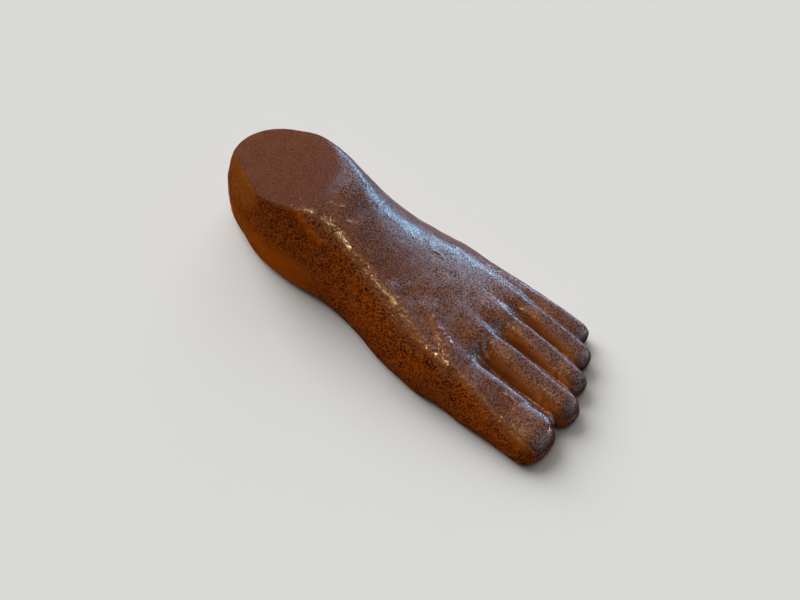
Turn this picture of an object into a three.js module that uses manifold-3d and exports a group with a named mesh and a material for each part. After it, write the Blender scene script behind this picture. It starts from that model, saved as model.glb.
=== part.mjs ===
// A life-size left foot, cut off flat just above the ankle, in brown salt-glazed stoneware.
// It is one solid. Millimetres, +Z up, +X from the heel to the toes, the big toe on the -Y side,
// the sole flat on z = 0 and the origin in the middle of its footprint box.
import * as THREE from "three";
import { mergeVertices } from "three/addons/utils/BufferGeometryUtils.js";
import Module from "manifold-3d";

// Driving dimensions
const HEIGHT = 62; // sole to the flat cut above the ankle
const SOLE_SINK = 9; // how far the mesh goes on below the flat sole before it is cut
const SPARE = 5; // how far the form goes on beyond the flat faces before they are cut
const BLOCK = 400; // side of the blocks cut away, more than the foot's length
const BODY_BLEND = 23; // reach of the hollow between the ankle and the instep
const TOE_BLEND = 10; // reach of the hollow where the toes grow out of the forefoot
const CLEFT_BLEND = 2; // rounding at the bottom of the clefts between the toes
const LEAST_REACH = 9; // how steeply the field rises outside a low part
const CREST_FROM = 6; // the crests fade in above this height
const CREST_FULL = 18; // and are full above this one
const COARSE = 7.2; // mesh spacing on the heel and instep
const FINE = 2.9; // mesh spacing on the toes
const ACROSS = 2.65; // mesh spacing across the foot
const UPWARD = 2.75; // mesh spacing in height
const TOES_FROM = 42; // where the finer spacing starts, along the foot

// The flat slice down the back of the heel, on the inner side
const SLICE_POINT = new THREE.Vector3(-96.4, -20.9, 62);
const SLICE_NORMAL = new THREE.Vector3(-0.4, -0.877, 0.27).normalize();

// The ankle is a leaning oval column
const ANKLE = {
  centre: { x: -81.5, y: 0.4 },
  turn: 30, // degrees from the foot's own axis
  radii: { long: 30.8, short: 23.6 }, // at the cut
  flare: 0.035, // growth of the radii for each millimetre down
  lean: 0.03, // how far the centre goes back for each millimetre down
  power: 2.15, // 2 is an ellipse, and more is squarer
  reach: 28, // scale of the field around it
  heel: 40, // the heel starts to round in below this height
  under: 48, // and would close this far below it
};

// The heel, instep and forefoot are one form, lofted along the foot from these profiles
const BODY = {
  medial: curve([[-100, -26.8], [-90, -30.6], [-80, -33.4], [-60, -35], [-37, -33.3],
    [-22, -34.2], [-5, -37.3], [12, -42], [30, -44.5], [45, -44.5], [62, -40], [85, -38]]),
  lateral: curve([[-100, 27], [-80, 28.2], [-60, 30.6], [-35, 34.2], [-5, 40.4], [15, 43.6],
    [35, 42.7], [60, 39.1], [85, 37.5]]),
  ridge: curve([[-100, -2], [-60, 2], [-30, -8], [0, -17], [30, -22], [60, -18], [85, -12]]),
  top: curve([[-100, 67], [-70, 66.5], [-50, 62], [-30, 54], [0, 43.3], [30, 35], [48, 30.5],
    [58, 27], [66, 20.5], [74, 15.5], [84, 13.5], [95, 13]]),
  ends: [-80, 66],
  rounding: [43.5, 24],
  widest: 11,
  under: curve([[-115, 13], [-85, 18]]),
  square: [
    curve([[-60, 2.3], [60, 2.3]]),
    curve([[-95, 2.1], [-72, 3.4], [-50, 3.4], [-20, 2.3], [25, 2.2], [58, 2.7]]),
  ],
  plan: 2.5,
};

// Two low crests, like tendons, run over the forefoot towards the big toe
const CRESTS = [
  [[8, -21], [25, -26.5], [40, -31.5], [54, -34]],
  [[30, -14.5], [43, -20.5], [54, -27.5], [70, -33], [94, -37.5]],
];
const CREST_RISE = 0.9;
const CREST_REACH = 5.5; // from a crest's line to where it has fallen to a third

// The toes, from the big one to the little one: where each starts and ends along the foot, its
// middle and half width at both ends, how far its crest lies to the outer side of the middle, its
// height at root, knuckle and tip, and its rounded nose
const TOES = [
  [48, 122.5, [-29.6, -30.5], [13.5, 15.8], 3, [27.5, 26, 19], 15],
  [60, 123.2, [-6.5, -6.1], [9.3, 9.8], 4, [26.4, 26.3, 18], 11],
  [60, 117, [10.5, 10.4], [8.6, 8.1], 3.7, [25.7, 25.3, 17], 10],
  [60, 109.9, [25, 25.1], [7.8, 7.7], 3.3, [23.8, 23.5, 16], 9],
  [60, 100.2, [34.4, 37.4], [6.3, 6.6], 2.4, [20.6, 20.6, 14], 8],
].map((sizes) => toeForm(...sizes));

// The nails of the first three toes are flats sunk into the toes: the middle of the base, half
// the width, and how far the flat leans towards the inner side of the foot, in degrees
const NAILS = [
  { base: [96, -31], half: 7.8, lean: 4 },
  { base: [105.5, -9], half: 4.8, lean: 24 },
  { base: [102, 7], half: 4, lean: 28 },
];
const NAIL_SINK = 0.8; // depth of the flat at its base
const NAIL_SLOPE = 9; // degrees down towards the tip of the toe
const NAIL_LENGTH = 30; // runs out over the end of the toe
const NAIL_BOW = 0.6; // depth of the rounded base, as a share of the half width
const NAIL_BLOCK = 6; // height of the block cut away above a nail, more than reaches the skin

// A toe's profiles, in the same terms as the body's
function toeForm(root, tip, middle, half, crest, top, nose) {
  const knuckle = 74;
  const bend = 86;
  const bent = 2.5; // fall of the top from knuckle to bend
  const side = (sign) => curve([
    [root, middle[0] + sign * half[0]],
    [tip, middle[1] + sign * half[1]],
  ]);
  return {
    medial: side(-1),
    lateral: side(1),
    ridge: curve([[root, middle[0] + crest], [tip, middle[1] + crest]]),
    top: curve([[root, top[0]], [knuckle, top[1]], [bend, top[1] - bent], [tip, top[2]]]),
    ends: [root, tip - nose],
    rounding: [18, nose],
    widest: 8,
    under: curve([[root, 12], [tip, 12]]),
    square: [
      curve([[root, 2.1], [tip, 2.2]]),
      curve([[root, 2.4], [knuckle, 3.2], [tip, 2.8]]),
    ],
    plan: 2.4,
  };
}

// A smooth function through [x, value] knots, level beyond both ends
function curve(knots) {
  const slope = knots.slice(1).map((k, i) => (k[1] - knots[i][1]) / (k[0] - knots[i][0]));
  const tangent = knots.map((k, i) => {
    if (i === 0) return slope[0];
    if (i === slope.length) return slope[i - 1];
    return (slope[i - 1] + slope[i]) / 2;
  });
  return (x) => {
    const p = THREE.MathUtils.clamp(x, knots[0][0], knots.at(-1)[0]);
    let i = 0;
    while (i < knots.length - 2 && p > knots[i + 1][0]) i += 1;
    const h = knots[i + 1][0] - knots[i][0];
    const t = (p - knots[i][0]) / h;
    return (
      (2 * t ** 3 - 3 * t ** 2 + 1) * knots[i][1] + (t ** 3 - 2 * t ** 2 + t) * h * tangent[i] +
      (3 * t ** 2 - 2 * t ** 3) * knots[i + 1][1] + (t ** 3 - t ** 2) * h * tangent[i + 1]
    );
  };
}

// The lesser of two fields, with the crease between them filled over the reach k
function blend(a, b, k) {
  const h = Math.max(k - Math.abs(a - b), 0) / k;
  return Math.min(a, b) - (h ** 3 * k) / 6;
}

// The field of a lofted form: under zero inside, zero on its skin, in about millimetres
function loft(form, x, y, z) {
  const medial = form.medial(x);
  const lateral = form.lateral(x);
  const ridge = form.ridge(x);
  const top = form.top(x);
  const side = y < ridge ? (ridge - y) / (ridge - medial) : (y - ridge) / (lateral - ridge);
  const before = Math.max(form.ends[0] - x, 0) / form.rounding[0];
  const beyond = Math.max(x - form.ends[1], 0) / form.rounding[1];
  const up = z > form.widest
    ? (z - form.widest) / (top - form.widest)
    : (form.widest - z) / form.under(x);
  const over = THREE.MathUtils.smoothstep(y, medial, lateral);
  const above = THREE.MathUtils.lerp(form.square[0](x), form.square[1](x), over);
  const power = z > form.widest ? above : 3;
  const plan = (side ** form.plan + (before + beyond) ** form.plan) ** (1 / form.plan);
  const size = (plan ** power + up ** power) ** (1 / power);
  return (size - 1) * Math.min((lateral - medial) / 2, Math.max(top - form.widest, LEAST_REACH));
}

// The field of the ankle column
function ankleField(x, y, z) {
  const drop = HEIGHT - z;
  const dx = x - ANKLE.centre.x + drop * ANKLE.lean;
  const dy = y - ANKLE.centre.y;
  const turn = THREE.MathUtils.degToRad(ANKLE.turn);
  const along = Math.abs(dx * Math.cos(turn) + dy * Math.sin(turn));
  const across = Math.abs(dy * Math.cos(turn) - dx * Math.sin(turn));
  const grown = drop * ANKLE.flare;
  const low = Math.max(ANKLE.heel - z, 0) / ANKLE.under;
  const size = (
    (along / (ANKLE.radii.long + grown)) ** ANKLE.power +
    (across / (ANKLE.radii.short + grown)) ** ANKLE.power +
    low ** 2
  ) ** (1 / ANKLE.power);
  return (size - 1) * ANKLE.reach;
}

// How far the crests raise the skin at a place seen from above
function crestRise(x, y) {
  const place = new THREE.Vector3(x, y, 0);
  const near = new THREE.Vector3();
  const rise = CRESTS.map((line) => {
    const gaps = line.slice(1).map((end, i) => {
      const piece = new THREE.Line3(new THREE.Vector3(...line[i], 0), new THREE.Vector3(...end, 0));
      return piece.closestPointToPoint(place, true, near).distanceTo(place);
    });
    return CREST_RISE * Math.exp(-((Math.min(...gaps) / CREST_REACH) ** 2));
  });
  return rise[0] + rise[1];
}

// The field of the whole foot before its flat faces are cut
function footField(x, y, z) {
  const body = blend(loft(BODY, x, y, z), ankleField(x, y, z), BODY_BLEND);
  const toes = TOES.map((toe) => loft(toe, x, y, z)).reduce((a, b) => blend(a, b, CLEFT_BLEND));
  const rise = crestRise(x, y) * THREE.MathUtils.smoothstep(z, CREST_FROM, CREST_FULL);
  return blend(body, toes, TOE_BLEND) - rise;
}

// Grid lines from low to high, with the step that spacing gives at each place
function gridLines(low, high, spacing) {
  const lines = [low];
  while (lines.at(-1) < high) lines.push(lines.at(-1) + spacing(lines.at(-1)));
  return lines;
}

// The closed skin where a field is zero: one point in each grid cell that the skin crosses,
// and one four-sided face across each grid edge that it crosses
function skinOf(field, xs, ys, zs) {
  const lines = [xs, ys, zs];
  const size = lines.map((line) => line.length);
  const strides = [size[1] * size[2], size[2], 1];
  const values = new Float64Array(size[0] * size[1] * size[2]);
  const place = (i, j, k) => i * strides[0] + j * strides[1] + k;
  xs.forEach((x, i) => ys.forEach((y, j) => zs.forEach((z, k) => {
    values[place(i, j, k)] = field(x, y, z);
  })));

  const points = [];
  const pointOfCell = new Map();
  const corners = [0, 1, 2, 3, 4, 5, 6, 7].map((c) => [c >> 2, (c >> 1) & 1, c & 1]);
  const edges = corners.flatMap((a, m) => corners.slice(m + 1)
    .filter((b) => Math.abs(a[0] - b[0]) + Math.abs(a[1] - b[1]) + Math.abs(a[2] - b[2]) === 1)
    .map((b) => [a, b]));
  const cellPoint = (cell) => {
    const key = place(...cell);
    if (!pointOfCell.has(key)) {
      const sum = new THREE.Vector3();
      let count = 0;
      for (const pair of edges) {
        const [a, b] = pair.map((c) => c.map((v, n) => v + cell[n]));
        const va = values[place(...a)];
        const vb = values[place(...b)];
        if (va < 0 !== vb < 0) {
          const [pa, pb] = [a, b].map((c) => new THREE.Vector3(...c.map((v, n) => lines[n][v])));
          sum.add(pa.lerp(pb, va / (va - vb)));
          count += 1;
        }
      }
      points.push(...sum.divideScalar(count).toArray());
      pointOfCell.set(key, points.length / 3 - 1);
    }
    return pointOfCell.get(key);
  };

  const faces = [];
  const apart = (a, b) => Math.hypot(...[0, 1, 2].map((n) => points[3 * a + n] - points[3 * b + n]));
  for (let i = 1; i < size[0] - 1; i += 1) {
    for (let j = 1; j < size[1] - 1; j += 1) {
      for (let k = 1; k < size[2] - 1; k += 1) {
        const here = values[place(i, j, k)] < 0;
        for (let axis = 0; axis < 3; axis += 1) {
          if (here === values[place(i, j, k) + strides[axis]] < 0) continue;
          const [u, v] = [(axis + 1) % 3, (axis + 2) % 3];
          const ring = [[1, 1], [0, 1], [0, 0], [1, 0]].map(([a, b]) => {
            const cell = [i, j, k];
            cell[u] -= a;
            cell[v] -= b;
            return cellPoint(cell);
          });
          if (!here) ring.reverse();
          const [a, b, c, d] = ring;
          if (apart(a, c) < apart(b, d)) faces.push(a, b, c, a, c, d);
          else faces.push(a, b, d, b, c, d);
        }
      }
    }
  }
  const geometry = new THREE.BufferGeometry();
  geometry.setAttribute("position", new THREE.Float32BufferAttribute(points, 3));
  geometry.setIndex(faces);
  return geometry;
}

// Booleans
const wasm = await Module();
wasm.setup();

function solidOf(geometry) {
  const bare = geometry.clone();
  bare.deleteAttribute("normal");
  bare.deleteAttribute("uv");
  const merged = mergeVertices(bare, 1e-4);
  return new wasm.Manifold(new wasm.Mesh({
    numProp: 3,
    vertProperties: new Float32Array(merged.getAttribute("position").array),
    triVerts: new Uint32Array(merged.getIndex().array),
  }));
}

function geometryOf(solid) {
  const mesh = solid.getMesh();
  const geometry = new THREE.BufferGeometry();
  geometry.setAttribute("position", new THREE.BufferAttribute(mesh.vertProperties, 3));
  geometry.setIndex(new THREE.BufferAttribute(mesh.triVerts, 1));
  return geometry;
}

// A block that holds everything on the far side of a plane
function blockBeyond(point, normal) {
  const block = new THREE.BoxGeometry(BLOCK, BLOCK, BLOCK).translate(0, 0, BLOCK / 2);
  const turn = new THREE.Quaternion().setFromUnitVectors(new THREE.Vector3(0, 0, 1), normal);
  return solidOf(block.applyQuaternion(turn).translate(point.x, point.y, point.z));
}

// The height of the foot's upper skin at a place seen from above
function skinHeight(x, y) {
  let low = 0;
  let high = HEIGHT + 10;
  while (high - low > 0.01) {
    const middle = (low + high) / 2;
    if (footField(x, y, middle) < 0) low = middle;
    else high = middle;
  }
  return low;
}

// The block cut away above a nail: straight sides, a rounded base and an open front
function nailCut({ base, half, lean }) {
  const bow = half * NAIL_BOW;
  const outline = new THREE.Shape();
  outline.moveTo(NAIL_LENGTH, -half);
  outline.lineTo(NAIL_LENGTH, half);
  outline.lineTo(bow, half);
  outline.absellipse(bow, 0, bow, half, Math.PI / 2, (3 * Math.PI) / 2, false);
  outline.closePath();
  const block = new THREE.ExtrudeGeometry(outline, { depth: NAIL_BLOCK, bevelEnabled: false });
  block.rotateY(THREE.MathUtils.degToRad(NAIL_SLOPE)).rotateX(THREE.MathUtils.degToRad(lean));
  return solidOf(block.translate(base[0], base[1], skinHeight(...base) - NAIL_SINK));
}

// The foot
function footGeometry() {
  const xs = gridLines(-140, 130, (x) => (x < TOES_FROM ? COARSE : FINE));
  const ys = gridLines(-54, 54, () => ACROSS);
  const zs = gridLines(-SOLE_SINK, HEIGHT + 8, () => UPWARD);
  const raw = (x, y, z) => Math.max(footField(x, y, z), z - HEIGHT - SPARE, -z - SPARE);
  const floor = blockBeyond(new THREE.Vector3(), new THREE.Vector3(0, 0, -1));
  const ankleCut = blockBeyond(new THREE.Vector3(0, 0, HEIGHT), new THREE.Vector3(0, 0, 1));
  const slice = blockBeyond(SLICE_POINT, SLICE_NORMAL);
  const cuts = [floor, ankleCut, slice, ...NAILS.map(nailCut)];
  const geometry = geometryOf(cuts.reduce((a, b) => a.subtract(b), solidOf(skinOf(raw, xs, ys, zs))));
  geometry.computeBoundingBox();
  const middle = geometry.boundingBox.getCenter(new THREE.Vector3());
  return geometry.translate(-middle.x, -middle.y, 0);
}

const glaze = new THREE.MeshStandardMaterial({ color: 0x6b3a24, roughness: 0.35, metalness: 0 });
const foot = new THREE.Mesh(footGeometry(), glaze);
foot.name = "foot";

const group = new THREE.Group();
group.add(foot);

export default group;
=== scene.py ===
"""A life-size left foot in brown salt-glazed stoneware, standing on a plain pale floor.

The form is worked out in millimetres from named sizes, with +X from heel to toes, the big toe on
the -Y side and the sole on z = 0, then set into the frame's foot in metres.
"""
import math

import bmesh
import bpy
import numpy as np
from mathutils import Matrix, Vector


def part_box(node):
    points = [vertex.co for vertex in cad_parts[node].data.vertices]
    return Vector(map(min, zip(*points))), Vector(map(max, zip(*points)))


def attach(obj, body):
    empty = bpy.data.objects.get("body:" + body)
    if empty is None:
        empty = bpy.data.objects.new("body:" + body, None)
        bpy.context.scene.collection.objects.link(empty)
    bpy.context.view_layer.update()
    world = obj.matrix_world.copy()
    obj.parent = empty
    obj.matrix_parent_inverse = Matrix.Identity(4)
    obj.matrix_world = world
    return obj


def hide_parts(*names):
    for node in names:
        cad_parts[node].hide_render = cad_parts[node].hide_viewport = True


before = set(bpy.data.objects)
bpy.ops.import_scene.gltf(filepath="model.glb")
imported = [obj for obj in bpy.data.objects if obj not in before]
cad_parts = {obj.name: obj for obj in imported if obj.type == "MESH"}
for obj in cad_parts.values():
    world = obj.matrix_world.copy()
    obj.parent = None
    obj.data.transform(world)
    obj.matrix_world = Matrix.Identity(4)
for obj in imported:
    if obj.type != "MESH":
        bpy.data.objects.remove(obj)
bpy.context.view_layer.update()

MM = 0.001

# Sizes of the form

HEIGHT = 62.0  # sole to the flat cut above the ankle
BODY_BLEND = 23.0  # reach of the hollow between the ankle and the instep
TOE_BLEND = 10.0  # reach of the hollow where the toes grow out of the forefoot
CLEFT_BLEND = 2.0  # rounding at the bottom of the clefts between the toes
LEAST_REACH = 9.0  # how steeply the field rises outside a low part
CUT_ROUND = (3.5, 11.0)  # softness of the cut's edge, at the heel and over the instep
SLICE_ROUND = (17.0, 4.5)  # softness of the edge of the slice, at the sole and at the cut
SOLE_ROUND = 2.0  # softness of the edge round the sole

SLICE_POINT = np.array([-96.4, -20.9, 62.0])
SLICE_NORMAL = np.array([-0.4, -0.877, 0.27]) / np.linalg.norm([-0.4, -0.877, 0.27])

ANKLE = {
    "centre": (-81.5, 0.4),
    "turn": math.radians(30),
    "radii": (30.8, 23.6),
    "flare": 0.035,
    "lean": 0.03,
    "power": 2.15,
    "reach": 28.0,
    "heel": 40.0,
    "under": 48.0,
}


def curve(knots):
    """A smooth function of x through (x, value) knots, level beyond both ends."""
    kx = np.array([k[0] for k in knots], float)
    kv = np.array([k[1] for k in knots], float)
    slope = np.diff(kv) / np.diff(kx)
    tangent = np.concatenate([slope[:1], (slope[:-1] + slope[1:]) / 2, slope[-1:]])

    def value(x):
        p = np.clip(x, kx[0], kx[-1])
        i = np.clip(np.searchsorted(kx, p) - 1, 0, len(kx) - 2)
        h = kx[i + 1] - kx[i]
        t = (p - kx[i]) / h
        near = (2 * t**3 - 3 * t**2 + 1) * kv[i] + (t**3 - 2 * t**2 + t) * h * tangent[i]
        far = (3 * t**2 - 2 * t**3) * kv[i + 1] + (t**3 - t**2) * h * tangent[i + 1]
        return near + far

    return value


BODY = {
    "medial": curve([
        (-100, -26.8), (-90, -30.6), (-80, -33.4), (-60, -35), (-37, -33.3), (-22, -34.2),
        (-5, -37.3), (12, -42), (30, -44.5), (45, -44.5), (62, -40), (85, -38),
    ]),
    "lateral": curve([
        (-100, 27), (-80, 28.2), (-60, 30.6), (-35, 34.2), (-5, 40.4), (15, 43.6), (35, 42.7),
        (60, 39.1), (85, 37.5),
    ]),
    "ridge": curve([(-100, -2), (-60, 2), (-30, -8), (0, -17), (30, -22), (60, -18), (85, -12)]),
    "top": curve([
        (-100, 67), (-70, 66.5), (-50, 62), (-30, 54), (0, 43.3), (30, 35), (48, 30.5),
        (58, 27), (66, 20.5), (74, 15.5), (84, 13.5), (95, 13),
    ]),
    "ends": (-80, 66),
    "rounding": (43.5, 24),
    "widest": 11,
    "under": curve([(-115, 13), (-85, 18)]),
    "square": (
        curve([(-60, 2.3), (60, 2.3)]),
        curve([(-95, 2.1), (-72, 3.4), (-50, 3.4), (-20, 2.3), (25, 2.2), (58, 2.7)]),
    ),
    "plan": 2.5,
}


def toe_form(root, tip, middle, half, crest, top, nose):
    """A toe's profiles, in the same terms as the body's.

    Its crest runs this far to the outer side of the middle, and top is at the root, knuckle and
    tip.
    """
    knuckle, bend = 74, 86
    return {
        "medial": curve([(root, middle[0] - half[0]), (tip, middle[1] - half[1])]),
        "lateral": curve([(root, middle[0] + half[0]), (tip, middle[1] + half[1])]),
        "ridge": curve([(root, middle[0] + crest), (tip, middle[1] + crest)]),
        "top": curve([(root, top[0]), (knuckle, top[1]), (bend, top[1] - 2.5), (tip, top[2])]),
        "ends": (root, tip - nose),
        "rounding": (18, nose),
        "widest": 8,
        "under": curve([(root, 12), (tip, 12)]),
        "square": (curve([(root, 2.1), (tip, 2.2)]), curve([(root, 2.4), (knuckle, 3.2), (tip, 2.8)])),
        "plan": 2.4,
    }


# From the big toe to the little one
TOES = [
    toe_form(48, 122.5, (-29.6, -30.5), (13.5, 15.8), crest=3, top=(27.5, 26, 19), nose=15),
    toe_form(60, 123.2, (-6.5, -6.1), (9.3, 9.8), crest=4, top=(26.4, 26.3, 18), nose=11),
    toe_form(60, 117, (10.5, 10.4), (8.6, 8.1), crest=3.7, top=(25.7, 25.3, 17), nose=10),
    toe_form(60, 109.9, (25, 25.1), (7.8, 7.7), crest=3.3, top=(23.8, 23.5, 16), nose=9),
    toe_form(60, 100.2, (34.4, 37.4), (6.3, 6.6), crest=2.4, top=(20.6, 20.6, 14), nose=8),
]

# Low crests, like tendons, run over the forefoot towards the big toe, and one down the instep
CRESTS = [
    [(8, -21), (25, -26.5), (40, -31.5), (54, -34)],
    [(30, -14.5), (43, -20.5), (54, -27.5), (70, -33), (94, -37.5)],
]
CREST_RISE = 0.9
CREST_REACH = 5.5  # from a crest's line to where it has fallen to a third
CREST_FROM, CREST_FULL = 6, 18  # the crests fade in between these heights

# Relief that only the fine mesh carries, in millimetres on top of the form

CUT_DOME = 1.2  # the flat cut is a little lower at its rim
WRINKLES = [
    [(-69, -22), (-60, -20.5), (-49, -23), (-40, -23.5)],
    [(-53, -5.5), (-51, -3), (-51.5, 0.5), (-50, 3)],
    [(-48, -5), (-42, -2)],
    [(-35, -6.5), (-30, -3.5)],
    [(-26, -20), (-22, -17.5), (-16, -18.5), (-11, -18), (-6, -19.5)],
    [(10.5, -21), (18, -25), (22, -24), (28, -28), (34, -29.5), (43.5, -31)],
    [(35, -32.5), (43, -33), (54, -33.5)],
    [(32.5, -15.5), (37, -21.5), (44, -24.5), (55, -30), (66.5, -33), (80, -34.5), (92, -37)],
    [(37, -21.5), (39, -19), (44.5, -20), (50, -22)],
]
WRINKLE_RISE = 0.44
WRINKLE_REACH = 0.9
WRINKLE_BREAK = 2.6  # a wrinkle swells and fades along its length, about this often

# A nail: the middle of its base, where it ends, half its width, the rounding of its base, how far
# its plate stands up, and the depth of the groove on its inner side
NAILS = [
    {"base": (97.6, -31.2), "end": 121.0, "half": 6.7, "round": 4.2, "rise": 0.5, "groove": 1.3},
    {"base": (106.4, -9.8), "end": 121.5, "half": 4.6, "round": 3.2, "rise": 0.4, "groove": 0.6},
    {"base": (102.8, 8.3), "end": 115.5, "half": 3.6, "round": 2.6, "rise": 0.35, "groove": 0.5},
]
NAIL_LIP = 3.0  # from a nail's edge to the top of the fold of skin beside it
RECESS = {"place": (92.8, -25.8), "reach": (3.0, 1.0), "turn": -8, "depth": 0.8}
HOOK = [(88, -24.2), (92, -23.8), (95.2, -24), (96.6, -25.6), (96.6, -27.4)]
HOOK_RISE = 0.6
HOOK_REACH = 0.8

# Pits in the glaze: place, half sizes, turn of the long axis from +X and depth
PITS = [
    ((65.1, -9.0), (2.9, 1.7), -52, 0.9),
    ((9.6, 17.4), (1.9, 0.7), 15, 1.0),
    ((-36.5, -24.0), (1.5, 1.0), 0, 0.7),
    ((-49.5, -29.0), (0.9, 0.8), 0, 0.5),
    ((-22.0, -28.0), (0.9, 0.8), 0, 0.5),
    ((21.0, -3.8), (0.9, 0.8), 0, 0.5),
    ((23.3, -35.3), (0.9, 0.8), 0, 0.5),
    ((-81.4, -12.5), (0.8, 0.7), 0, 0.4),
    ((-103.7, 9.9), (0.7, 0.6), 0, -0.3),
]

# The hand-smoothed surface: many long low waves, laid over each other
RIPPLE_COUNT = 40
RIPPLE_LENGTH = (4.5, 14.0)
RIPPLE_DEPTH = 0.012  # of one wave, at a length of 10 mm
RIPPLE_SEED = 11


# The field: under zero inside the foot, zero on its skin, in about millimetres


def blend(a, b, k):
    """The lesser of two fields, with the crease between them filled over the reach k."""
    h = np.maximum(k - np.abs(a - b), 0) / k
    return np.minimum(a, b) - h**3 * k / 6


def carve(a, b, k):
    """The greater of two fields, with the edge between them rounded over the reach k."""
    return -blend(-a, -b, k)


def ease(low, high, x):
    """A smooth step from 0 at low to 1 at high."""
    t = np.clip((x - low) / (high - low), 0, 1)
    return t * t * (3 - 2 * t)


def mix(pair, share):
    """A value between the two of a pair."""
    return pair[0] + (pair[1] - pair[0]) * share


def loft(form, x, y, z):
    medial, lateral, ridge, top = (form[k](x) for k in ("medial", "lateral", "ridge", "top"))
    side = np.where(y < ridge, (ridge - y) / (ridge - medial), (y - ridge) / (lateral - ridge))
    before = np.maximum(form["ends"][0] - x, 0) / form["rounding"][0]
    beyond = np.maximum(x - form["ends"][1], 0) / form["rounding"][1]
    widest = form["widest"]
    up = np.where(z > widest, (z - widest) / (top - widest), (widest - z) / form["under"](x))
    inner, outer = form["square"]
    power = mix((inner(x), outer(x)), ease(medial, lateral, y))
    power = np.where(z > widest, power, 3.0)
    plan = (side ** form["plan"] + (before + beyond) ** form["plan"]) ** (1 / form["plan"])
    size = (plan**power + up**power) ** (1 / power)
    return (size - 1) * np.minimum((lateral - medial) / 2, np.maximum(top - widest, LEAST_REACH))


def ankle_field(x, y, z):
    drop = HEIGHT - z
    dx = x - ANKLE["centre"][0] + drop * ANKLE["lean"]
    dy = y - ANKLE["centre"][1]
    c, s = math.cos(ANKLE["turn"]), math.sin(ANKLE["turn"])
    grown = drop * ANKLE["flare"]
    along = np.abs(dx * c + dy * s) / (ANKLE["radii"][0] + grown)
    across = np.abs(dy * c - dx * s) / (ANKLE["radii"][1] + grown)
    low = np.maximum(ANKLE["heel"] - z, 0) / ANKLE["under"]
    size = (along ** ANKLE["power"] + across ** ANKLE["power"] + low**2) ** (1 / ANKLE["power"])
    return (size - 1) * ANKLE["reach"]


def line_gap(line, x, y):
    """The distance from a place to a line of points, seen from above."""
    gap = np.full(np.shape(x), 1e9)
    for (ax, ay), (bx, by) in zip(line, line[1:]):
        ux, uy = bx - ax, by - ay
        t = np.clip(((x - ax) * ux + (y - ay) * uy) / (ux * ux + uy * uy), 0, 1)
        gap = np.minimum(gap, np.hypot(x - ax - t * ux, y - ay - t * uy))
    return gap


def form_field(x, y, z):
    """The foot before its cuts."""
    body = blend(loft(BODY, x, y, z), ankle_field(x, y, z), BODY_BLEND)
    toes = loft(TOES[0], x, y, z)
    for toe in TOES[1:]:
        toes = blend(toes, loft(toe, x, y, z), CLEFT_BLEND)
    rise = sum(CREST_RISE * np.exp(-((line_gap(c, x, y) / CREST_REACH) ** 2)) for c in CRESTS)
    return blend(body, toes, TOE_BLEND) - rise * ease(CREST_FROM, CREST_FULL, z)


def slice_gap(x, y, z):
    """The distance in front of the flat slice down the back of the heel."""
    return np.stack([x, y, z], axis=-1) @ SLICE_NORMAL - SLICE_NORMAL @ SLICE_POINT


def cut_form(whole, x, y, z, dome=0.0):
    """The cuts at the ankle, down the heel and under the sole."""
    out = np.hypot(x - ANKLE["centre"][0], y - ANKLE["centre"][1]) / ANKLE["radii"][0]
    whole = carve(whole, z - HEIGHT + dome * out**2, mix(CUT_ROUND, ease(-70, -46, x + 0.6 * y)))
    whole = carve(whole, slice_gap(x, y, z), mix(SLICE_ROUND, ease(0, HEIGHT, z)))
    return carve(whole, -z, SOLE_ROUND)


def foot_field(x, y, z):
    return cut_form(form_field(x, y, z), x, y, z)


# The relief


def turned(place, degrees, x, y):
    """Coordinates about a place, along and across a direction."""
    c, s = math.cos(math.radians(degrees)), math.sin(math.radians(degrees))
    dx, dy = x - place[0], y - place[1]
    return dx * c + dy * s, dy * c - dx * s


def bell(gap, reach):
    return np.exp(-((gap / reach) ** 2))


def dent(place, reach, turn, depth, x, y):
    """A pit with a low rim."""
    along, across = turned(place, turn, x, y)
    out = np.hypot(along / reach[0], across / reach[1])
    return -depth * bell(out, 0.8) + 0.25 * depth * bell(out - 1.7, 0.5)


def nail_gap(nail, x, y):
    """The distance outside a nail's outline, negative inside it."""
    half_length = (nail["end"] - nail["base"][0]) / 2
    reach = np.abs(x - nail["base"][0] - half_length) - half_length + nail["round"]
    side = np.abs(y - nail["base"][1]) - nail["half"] + nail["round"]
    outside = np.hypot(np.maximum(reach, 0), np.maximum(side, 0))
    return outside + np.minimum(np.maximum(reach, side), 0) - nail["round"]


def nail_relief(nail, x, y):
    gap = nail_gap(nail, x, y)
    inner = ease(2, -nail["half"], y - nail["base"][1])  # 1 on the inner side, 0 on the outer
    plate = nail["rise"] * ease(0.4, -0.6, gap)
    groove = nail["groove"] * mix((0.4, 1), inner) * bell(gap - 0.9, 0.7)
    lip = 0.5 * nail["groove"] * mix((0.3, 1), inner) * bell(gap - NAIL_LIP, 1.1)
    return (plate - groove + lip) * ease(nail["end"] + 3, nail["end"] - 4, x)


def wave(x, length, shift):
    return np.sin(2 * np.pi * x / length + shift)


def wrinkle_relief(x, y):
    """Broken hair-thin ridges, each a row of short swellings."""
    total = 0
    for number, line in enumerate(WRINKLES):
        beat = wave(x, 3.1 * WRINKLE_BREAK, number) + wave(x, WRINKLE_BREAK, 2 * number)
        sway = 0.5 * wave(x, 6.3, number) + 0.3 * wave(x, 2.9, 3 * number)
        strength = ease(-1.6, 0.8, beat)
        gap = line_gap(line, x + sway, y + sway)
        total = total + WRINKLE_RISE * strength * bell(gap, WRINKLE_REACH)
    return total


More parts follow.
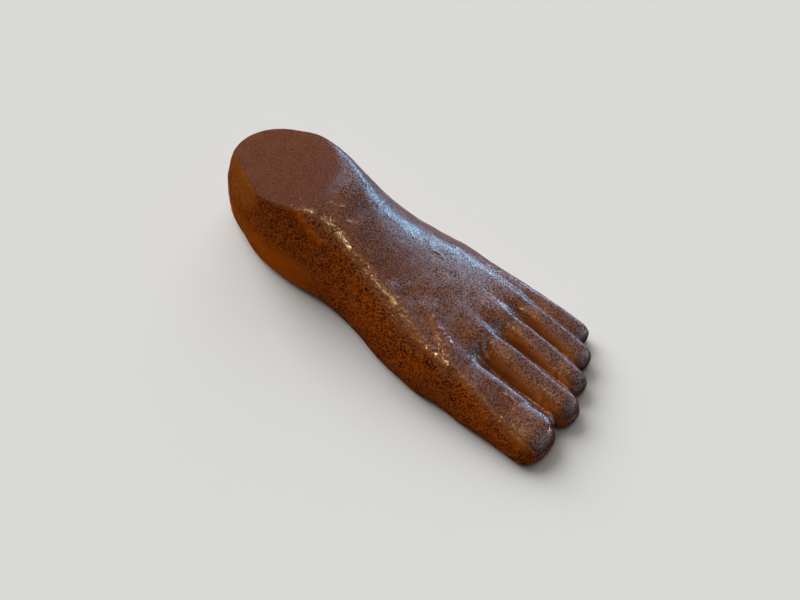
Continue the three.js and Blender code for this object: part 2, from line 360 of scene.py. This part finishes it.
def ripple_relief(x, y, z):
    random = np.random.default_rng(RIPPLE_SEED)
    total = 0
    for _ in range(RIPPLE_COUNT):
        way = random.normal(size=3)
        way /= np.linalg.norm(way)
        length = random.uniform(*RIPPLE_LENGTH)
        along = x * way[0] + y * way[1] + z * way[2]
        total = total + RIPPLE_DEPTH * length / 10 * wave(along, length, random.uniform(0, 6.3))
    return total


def relief(x, y, z):
    top = ease(CREST_FROM, CREST_FULL, z)
    fine = wrinkle_relief(x, y) + sum(nail_relief(nail, x, y) for nail in NAILS)
    fine = fine + HOOK_RISE * bell(line_gap(HOOK, x, y), HOOK_REACH)
    fine = fine + dent(RECESS["place"], RECESS["reach"], RECESS["turn"], RECESS["depth"], x, y)
    for pit in PITS[:-2]:
        fine = fine + dent(*pit, x, y)
    return fine * top + ripple_relief(x, y, z) * ease(0, 4, z)


def fine_field(x, y, z):
    """The field of the finished surface."""
    whole = cut_form(form_field(x, y, z) - relief(x, y, z), x, y, z, CUT_DOME)
    marks = sum(dent(*pit, x, y) for pit in PITS[-2:]) + 0.25 * ripple_relief(x, y, z)
    return whole - marks * ease(HEIGHT - 4, HEIGHT - 2, z)


# The skin of the field as a mesh


def grid_lines(low, high, spacing):
    lines = [low]
    while lines[-1] < high:
        lines.append(lines[-1] + spacing(lines[-1]))
    return np.array(lines)


def skin_of(field, lines):
    """Points, one in each grid cell that the skin crosses, and four-sided faces between them."""
    values = field(*np.meshgrid(*lines, indexing="ij"))
    inside = values < 0
    corners = [(i, j, k) for i in (0, 1) for j in (0, 1) for k in (0, 1)]
    cells = tuple(n - 1 for n in values.shape)
    count = sum(
        inside[i : i + cells[0], j : j + cells[1], k : k + cells[2]].astype(int)
        for i, j, k in corners
    )
    crossed = np.argwhere((count > 0) & (count < 8))
    number = np.full(cells, -1)
    number[tuple(crossed.T)] = np.arange(len(crossed))
    total = np.zeros((len(crossed), 3))
    hits = np.zeros(len(crossed))
    for a in corners:
        for axis in range(3):
            if a[axis]:
                continue
            b = tuple(1 if n == axis else v for n, v in enumerate(a))
            pa, pb = crossed + a, crossed + b
            va, vb = values[tuple(pa.T)], values[tuple(pb.T)]
            cut = (va < 0) != (vb < 0)
            t = np.where(cut, va / np.where(cut, va - vb, 1), 0)
            for n in range(3):
                start, end = lines[n][pa[:, n]], lines[n][pb[:, n]]
                total[:, n] += np.where(cut, start + (end - start) * t, 0)
            hits += cut
    points = total / hits[:, None]

    faces = []
    for axis in range(3):
        u, v = (axis + 1) % 3, (axis + 2) % 3
        step = [0, 0, 0]
        step[axis] = 1
        low = inside[tuple(slice(0, n - s) for n, s in zip(inside.shape, step))]
        high = inside[tuple(slice(s, n) for n, s in zip(inside.shape, step))]
        edges = np.argwhere(low != high)
        keep = np.all((edges > 0) & (edges < np.array(cells)), axis=1)
        edges = edges[keep]
        starts_inside = inside[tuple(edges.T)]
        ring = []
        for a, b in ((1, 1), (0, 1), (0, 0), (1, 0)):
            cell = edges.copy()
            cell[:, u] -= a
            cell[:, v] -= b
            ring.append(number[tuple(cell.T)])
        ring = np.stack(ring, 1)
        ring[~starts_inside] = ring[~starts_inside][:, ::-1]
        faces.append(ring)
    return points, np.concatenate(faces)


def slope_of(field, points, reach=0.1):
    """The field's gradient at each point."""
    slope = np.empty_like(points)
    for n in range(3):
        step = np.zeros(3)
        step[n] = reach
        slope[:, n] = (field(*(points + step).T) - field(*(points - step).T)) / (2 * reach)
    return slope


def settle(field, points, rounds=3, most=0.5):
    """Moves points straight onto the skin of the field."""
    for _ in range(rounds):
        slope = slope_of(field, points)
        step = field(*points.T)[:, None] * slope / np.sum(slope**2, axis=1)[:, None]
        length = np.linalg.norm(step, axis=1)[:, None]
        points = points - step * np.minimum(1, most / np.maximum(length, 1e-9))
    return points


LINES = (
    grid_lines(-130.0, 128.0, lambda x: 1.15 if x < 42 else 0.9),
    grid_lines(-50.0, 50.0, lambda y: 1.0),
    grid_lines(-2.0, 66.0, lambda z: 1.0),
)
FINE_BEYOND = 8.0  # the mesh is twice as fine up to this far round the nails


def near_nails(points):
    """True where the mesh is made twice as fine."""
    x, y, z = points.T
    gap = np.min([nail_gap(nail, x, y) for nail in NAILS], axis=0)
    pit = np.hypot(x - PITS[0][0][0], y - PITS[0][0][1]) - 4
    slit = np.hypot(x - PITS[1][0][0], y - PITS[1][0][1]) - 4
    wrinkle = np.min([line_gap(line, x, y) for line in WRINKLES], axis=0) - 3
    return (np.min([gap - FINE_BEYOND, pit, slit, wrinkle], axis=0) < 0) & (z > 8)


def refined(points, faces, chosen):
    """The mesh with each edge between two chosen points cut in half."""
    work = bmesh.new()
    corners = [work.verts.new(p) for p in points]
    for face in faces:
        work.faces.new([corners[n] for n in face])
    work.verts.index_update()
    edges = [e for e in work.edges if chosen[e.verts[0].index] and chosen[e.verts[1].index]]
    bmesh.ops.subdivide_edges(work, edges=edges, cuts=1, use_grid_fill=True)
    work.verts.index_update()
    new_points = np.array([v.co[:] for v in work.verts])
    new_faces = [[v.index for v in f.verts] for f in work.faces]
    work.free()
    return new_points, new_faces


def foot_mesh():
    points, faces = skin_of(foot_field, LINES)
    points = settle(foot_field, points)
    points, faces = refined(points, faces.tolist(), near_nails(points))
    points = settle(fine_field, points, rounds=4)
    slope = slope_of(foot_field, points)
    normals = slope / np.linalg.norm(slope, axis=1)[:, None]
    return points, normals, faces


# Where the glaze is smooth or dull, where it is darker, and where it is painted amber or pale brown
# for warm light falling on it, from 0 to 1 at each point


def toe_walls(points, normals):
    """The inner walls of the smaller toes."""
    x, y, z = points.T
    return ease(0.42, 0.8, -normals[:, 1]) * ease(60, 72, x) * ease(-22, -17, y) * (z < 40)


def nail_flanks(points):
    """The grooves on the inner side and at the base of the nails."""
    x, y, z = points.T
    total = 0
    for nail, share in zip(NAILS, (1, 0.6, 0.5)):
        inner = ease(-nail["half"] + 3, -nail["half"], y - nail["base"][1])
        base = 0.7 * ease(1, -0.5, x - nail["base"][0]) * ease(nail["half"], 0, y - nail["base"][1])
        gap = nail_gap(nail, x, y)
        total = total + share * inner * bell(gap - 1.6, 1.8) * (z > 12)
        total = total + share * (1 - inner) * base * bell(gap - 0.9, 0.8) * (z > 12)
    return total


def calm(points, normals):
    x, y, z = points.T
    cut = 0.35 * ease(HEIGHT - 2.6, HEIGHT - 1.2, z)
    facet = 0.85 * ease(-1.4, -0.3, slice_gap(x, y, z))
    heel = ease(0.6, 0.85, -normals[:, 1]) * ease(36, 22, z) * ease(-30, -60, x)
    walls = 0.85 * toe_walls(points, normals)
    glints = 0.95 * bell(np.min([line_gap(line, x, y) for line in WRINKLES + [HOOK]], axis=0), 1.5)
    return np.max([cut, facet, heel, walls, glints * (z > 12), nail_flanks(points)], axis=0)


def satin(points, normals):
    """The duller glaze on the nail of the big toe and on the smaller toes."""
    x, y, z = points.T
    toes = ease(60, 70, x) * ease(-20, -16, y)
    return np.maximum(toes, ease(0.2, -0.8, nail_gap(NAILS[0], x, y))) * (z > 8)


# Painted light: faces turned to -Y, the inner side, are made lighter orange for the warm light falling
# on them; the band just above the sole is amber too.
def amber_painted_light(points, normals):
    z = points[:, 2]
    side = ease(0.3, 0.8, -normals[:, 1]) * ease(HEIGHT - 1, HEIGHT - 3, z)
    return np.clip(np.maximum(side, ease(9, 3, z)), 0, 1)


def thick(points, normals):
    """The darker glaze, on the flat cut and the outer side."""
    cut = 0.9 * ease(HEIGHT - 2.6, HEIGHT - 1.2, points[:, 2])
    return np.maximum(cut, 0.9 * ease(0.25, 0.75, normals[:, 1]))


def tan(points, normals):
    """The palest brown, painted warm light on the slice, the toes' inner walls, the nail
    grooves and the shoulder of the instep, where it also stands for the lamp's glow.
    """
    x, y, z = points.T
    facet = ease(-1.4, -0.3, slice_gap(x, y, z))
    # Painted glow of the lamp on the instep's shoulder, where the inner side turns up to the top
    shoulder = 0.6 * bell(-normals[:, 1] - 0.35, 0.25) * ease(HEIGHT - 2, HEIGHT - 6, z)
    shoulder = shoulder * ease(10, 20, z) * ease(95, 70, x)
    return np.clip(np.max([facet, 0.8 * toe_walls(points, normals), shoulder, nail_flanks(points)],
                          axis=0), 0, 1)


def to_frame(points):
    """From the form's millimetres to the frame's metres, over the frame's own foot."""
    low, high = (np.array(c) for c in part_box("foot"))
    middle = (points.min(axis=0) + points.max(axis=0)) / 2
    shift = (low + high) / 2 / MM - middle
    shift[2] = -points[:, 2].min()
    return (points + shift) * MM, shift


def make_foot():
    points, normals, faces = foot_mesh()
    placed, shift = to_frame(points)
    mesh = bpy.data.meshes.new("glazed_foot")
    mesh.from_pydata(placed.tolist(), [], faces)
    mesh.polygons.foreach_set("use_smooth", np.ones(len(faces), bool))
    for share in (calm, satin, amber_painted_light, thick, tan):
        layer = mesh.attributes.new(share.__name__, "FLOAT", "POINT")
        layer.data.foreach_set("value", share(points, normals).astype(np.float32))
    mesh.update()
    foot = bpy.data.objects.new("glazed_foot", mesh)
    bpy.context.scene.collection.objects.link(foot)
    return foot, shift


# Materials


def node(tree, kind, inputs=None, **settings):
    """A new shader node with its settings, and its inputs set to values or linked to sockets."""
    made = tree.nodes.new("ShaderNode" + kind)
    for name, value in settings.items():
        setattr(made, name, value)
    for key, value in (inputs or {}).items():
        if isinstance(value, bpy.types.NodeSocket):
            tree.links.new(value, made.inputs[key])
        else:
            made.inputs[key].default_value = value
    return made


def combine(tree, operation, *values):
    """Arithmetic on sockets and numbers."""
    made = node(tree, "Math", dict(enumerate(values)), operation=operation)
    return made.outputs[0]


def ramp(tree, value, low, high, start=0.0, end=1.0):
    """A smooth step from start at low to end at high."""
    made = node(tree, "MapRange", {
        "Value": value, "From Min": low, "From Max": high, "To Min": start, "To Max": end,
    }, interpolation_type="SMOOTHSTEP")
    return made.outputs["Result"]


def blended(tree, factor, a, b):
    """A colour between two."""
    made = node(tree, "Mix", {0: factor, 6: a, 7: b}, data_type="RGBA")
    return made.outputs[2]


def spots_of(tree, place, scale, ragged, start, full):
    """Round spots with ragged edges, so many in a metre."""
    cells = node(tree, "TexVoronoi", {"Vector": place, "Scale": scale}).outputs["Distance"]
    cells = combine(tree, "ADD", cells, combine(tree, "MULTIPLY", ragged, 0.2))
    return ramp(tree, cells, start, full)


def noise_of(tree, place, scale, detail=2.0, stretch=(1, 1, 1)):
    moved = node(tree, "Mapping", {"Vector": place, "Scale": stretch})
    return node(tree, "TexNoise", {
        "Vector": moved.outputs[0], "Scale": scale, "Detail": detail,
    }).outputs["Fac"]


GROUND = (0.24, 0.064, 0.009, 1)  # brown iron-rich glaze
MAROON = (0.15, 0.035, 0.010, 1)  # where it is thicker
AMBER = (0.45, 0.085, 0.0008, 1)  # lighter orange, painted warm light on the inner side and also used just above the sole; AMBER_DEEP is its streaked copy
AMBER_DEEP = (0.31, 0.056, 0.0008, 1)
TAN = (0.33, 0.094, 0.010, 1)  # palest brown, painted warm light on the slice, toe walls, nail grooves and instep shoulder; TAN_DEEP is its streaked copy
TAN_DEEP = (0.25, 0.066, 0.006, 1)
SPECK = (0.042, 0.010, 0.004, 1)
SPOT_SCALE = 1000.0  # spots in a metre
COARSE_SCALE = 820.0
BLOT_SCALE = 330.0
PEEL_SCALE = 1900.0
CLOUD_SCALE = 90.0
PEEL_DEPTH = 0.00008


def glaze_material():
    made = bpy.data.materials.new("salt_glaze")
    made.use_nodes = True
    tree = made.node_tree
    shader = tree.nodes["Principled BSDF"]
    place = node(tree, "TexCoord").outputs["Object"]
    smooth = node(tree, "Attribute", attribute_name="calm").outputs["Fac"]
    amber_lit = node(tree, "Attribute", attribute_name="amber_painted_light").outputs["Fac"]
    pale_lit = node(tree, "Attribute", attribute_name="tan").outputs["Fac"]
    thick = node(tree, "Attribute", attribute_name="thick").outputs["Fac"]
    rough = combine(tree, "SUBTRACT", 1.0, smooth)

    ragged = noise_of(tree, place, PEEL_SCALE, 1.0)
    fine = combine(tree, "MULTIPLY", spots_of(tree, place, SPOT_SCALE, ragged, 0.72, 0.48),
                   ramp(tree, amber_lit, 0.0, 0.6, 0.85, 0.4))
    coarse = combine(tree, "MULTIPLY", spots_of(tree, place, COARSE_SCALE, ragged, 0.68, 0.5),
                     ramp(tree, amber_lit, 0.0, 0.6, 0.35, 1.0))
    spots = combine(tree, "MAXIMUM", fine, coarse)
    crowd = ramp(tree, noise_of(tree, place, 160.0, 2.0), 0.35, 0.6, 0.7, 1.0)
    blots = spots_of(tree, place, BLOT_SCALE, ragged, 0.50, 0.38)
    patches = ramp(tree, noise_of(tree, place, 70.0, 1.0), 0.45, 0.62, 0.05, 1.0)
    blots = combine(tree, "MULTIPLY", combine(tree, "MULTIPLY", blots, patches),
                    ramp(tree, amber_lit, 0.0, 0.6, 0.25, 0.7))
    specks = combine(tree, "MAXIMUM", combine(tree, "MULTIPLY", spots, crowd), blots)
    specks = combine(tree, "MULTIPLY", specks, rough)

    clouds = ramp(tree, noise_of(tree, place, CLOUD_SCALE, 3.0), 0.35, 0.65)
    streaks = ramp(tree, noise_of(tree, place, 700.0, 2.0, (0.06, 1, 0.3)), 0.3, 0.7)
    clouds = combine(tree, "MULTIPLY", clouds, 0.5)
    ground = blended(tree, combine(tree, "MAXIMUM", clouds, thick), GROUND, MAROON)
    # The inner side's lighter orange, and the pale brown laid over it next, are painted warm light on
    # top of the ground colour.
    walls = blended(tree, combine(tree, "MULTIPLY", streaks, clouds), AMBER, AMBER_DEEP)
    colour = blended(tree, amber_lit, ground, walls)
    colour = blended(tree, pale_lit, colour, blended(tree, streaks, TAN, TAN_DEEP))
    colour = blended(tree, specks, colour, SPECK)
    tree.links.new(colour, shader.inputs["Base Color"])
    dull = node(tree, "Attribute", attribute_name="satin").outputs["Fac"]
    gloss = ramp(tree, smooth, 0.0, 1.0, 0.14, 0.06)
    tree.links.new(combine(tree, "ADD", gloss, combine(tree, "MULTIPLY", dull, 0.22)),
                   shader.inputs["Roughness"])
    tree.links.new(ramp(tree, specks, 0.0, 1.0, 0.65, 0.1), shader.inputs["Specular IOR Level"])

    height = combine(tree, "SUBTRACT", combine(tree, "MULTIPLY", ragged, 0.8), spots)
    bump = node(tree, "Bump", {
        "Height": height, "Distance": PEEL_DEPTH, "Strength": ramp(tree, rough, 0, 1, 0.12, 0.8),
    })
    tree.links.new(bump.outputs["Normal"], shader.inputs["Normal"])
    return made


# Surroundings

FLOOR_SIDE = 6.0
FLOOR_COLOUR = (0.818, 0.834, 0.838, 1)
PHOTO_AZIMUTH = math.radians(38)
PHOTO_ELEVATION = math.radians(60)
PHOTO_DISTANCE = 700.0
PHOTO_ANGLE = math.radians(36)
PHOTO_TARGET = (4.5, -9.5, 15.0)


def make_floor():
    half = FLOOR_SIDE / 2
    mesh = bpy.data.meshes.new("floor")
    mesh.from_pydata([(-half, -half, 0), (half, -half, 0), (half, half, 0), (-half, half, 0)], [],
                     [(0, 1, 2, 3)])
    floor = bpy.data.objects.new("floor", mesh)
    bpy.context.scene.collection.objects.link(floor)
    made = bpy.data.materials.new("floor_paper")
    made.use_nodes = True
    shader = made.node_tree.nodes["Principled BSDF"]
    shader.inputs["Base Color"].default_value = FLOOR_COLOUR
    shader.inputs["Roughness"].default_value = 1
    shader.inputs["Specular IOR Level"].default_value = 0
    mesh.materials.append(made)
    floor.visible_glossy = False


def direction(azimuth, elevation):
    """The unit vector from the target back towards a place round it."""
    return Vector((
        math.sin(azimuth) * math.cos(elevation),
        -math.cos(azimuth) * math.cos(elevation),
        math.sin(elevation),
    ))


def make_camera(shift):
    data = bpy.data.cameras.new("camera")
    data.sensor_width = 36
    data.lens = data.sensor_width / 2 / math.tan(PHOTO_ANGLE / 2)
    data.clip_start = 0.01
    camera = bpy.data.objects.new("camera", data)
    back = direction(PHOTO_AZIMUTH, PHOTO_ELEVATION)
    target = Vector((PHOTO_TARGET[0] + shift[0], PHOTO_TARGET[1] + shift[1], PHOTO_TARGET[2])) * MM
    camera.location = target + back * PHOTO_DISTANCE * MM
    camera.rotation_mode = "QUATERNION"
    camera.rotation_quaternion = (-back).to_track_quat("-Z", "Y")
    bpy.context.scene.collection.objects.link(camera)
    bpy.context.scene.camera = camera


# Lights. Directions are (azimuth from +X towards +Y, elevation), in degrees. Radiance is relative
# to that of a white surface that shows as white.


def toward(azimuth, elevation):
    a, e = math.radians(azimuth), math.radians(elevation)
    return Vector((math.cos(a) * math.cos(e), math.sin(a) * math.cos(e), math.sin(e)))


def place_light(name, kind, way, distance=0.0):
    data = bpy.data.lights.new(name, kind)
    light = bpy.data.objects.new(name, data)
    back = toward(*way)
    light.location = back * distance
    light.rotation_mode = "QUATERNION"
    light.rotation_quaternion = back.to_track_quat("Z", "Y")
    bpy.context.scene.collection.objects.link(light)
    return light


def soft_sun(name, way, angle, strength, colour=(1, 1, 1)):
    """A round soft light, infinitely far, whose strength is what it gives a surface facing it."""
    light = place_light(name, "SUN", way)
    light.data.angle = math.radians(angle)
    light.data.energy = strength * math.pi
    light.data.color = colour
    return light


def panel(name, way, distance, size, radiance, colour):
    """A flat panel that shows only as a reflection in the glaze."""
    light = place_light(name, "AREA", way, distance)
    light.data.shape = "RECTANGLE"
    light.data.size, light.data.size_y = size
    light.data.energy = radiance * math.pi * size[0] * size[1]
    light.data.color = colour
    light.visible_diffuse = False
    return light


# The dome: direction, angles where each patch of light starts and is full, and radiance
DOME = [
    ((145, 58), 62, 26, (0.50, 0.46, 0.40)),
    ((86, 0), 22, 6, (0.6, 0.9, 1.3)),
    ((18, -14), 34, 12, (0.30, 0.42, 0.60)),
    ((118, -30), 44, 20, (0.50, 0.47, 0.55)),
]


def make_world():
    world = bpy.data.worlds.new("dome")
    bpy.context.scene.world = world
    world.use_nodes = True
    tree = world.node_tree
    place = node(tree, "TexCoord").outputs["Generated"]
    total = (0.008, 0.006, 0.004)
    for way, start, full, radiance in DOME:
        facing = node(tree, "VectorMath", {0: place, 1: toward(*way)}, operation="DOT_PRODUCT")
        share = ramp(tree, facing.outputs["Value"], math.cos(math.radians(start)),
                     math.cos(math.radians(full)))
        patch = node(tree, "VectorMath", {0: radiance, "Scale": share}, operation="SCALE")
        total = node(tree, "VectorMath", {0: total, 1: patch.outputs[0]}).outputs[0]
    tree.links.new(total, tree.nodes["Background"].inputs["Color"])


def make_lights():
    for name, way, strength in (("key", (169, 36), 0.88), ("fill", (112, 42), 0.15)):
        soft_sun(name, way, 45, strength).visible_glossy = False
    panel("window", (84, 13), 4.0, (3.0, 0.9), 12.0, (0.28, 0.64, 1.0))
    panel("window_wide", (87, 18), 4.4, (3.6, 2.7), 3.0, (0.38, 0.66, 1.0))
    panel("window_top", (93, 46), 4.0, (1.3, 2.3), 2.9, (0.38, 0.66, 1.0))
    panel("front", (15, 30), 4.0, (3.4, 4.8), 1.5, (0.45, 0.72, 1.0))
    panel("room", (-72, 45), 4.0, (2.4, 3.4), 0.4, (1.0, 0.75, 0.5))
    panel("tip_light", (38, 14), 4.0, (0.5, 0.5), 55.0, (0.75, 0.9, 1.0))
    panel("lamp", (-60, 84), 4.0, (0.13, 0.13), 900.0, (1.0, 0.66, 0.32))


foot, shift = make_foot()
foot.data.materials.append(glaze_material())
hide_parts("foot")
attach(foot, "root")

make_floor()
make_camera(shift)
make_world()
make_lights()
bpy.context.scene.view_settings.view_transform = "Standard"
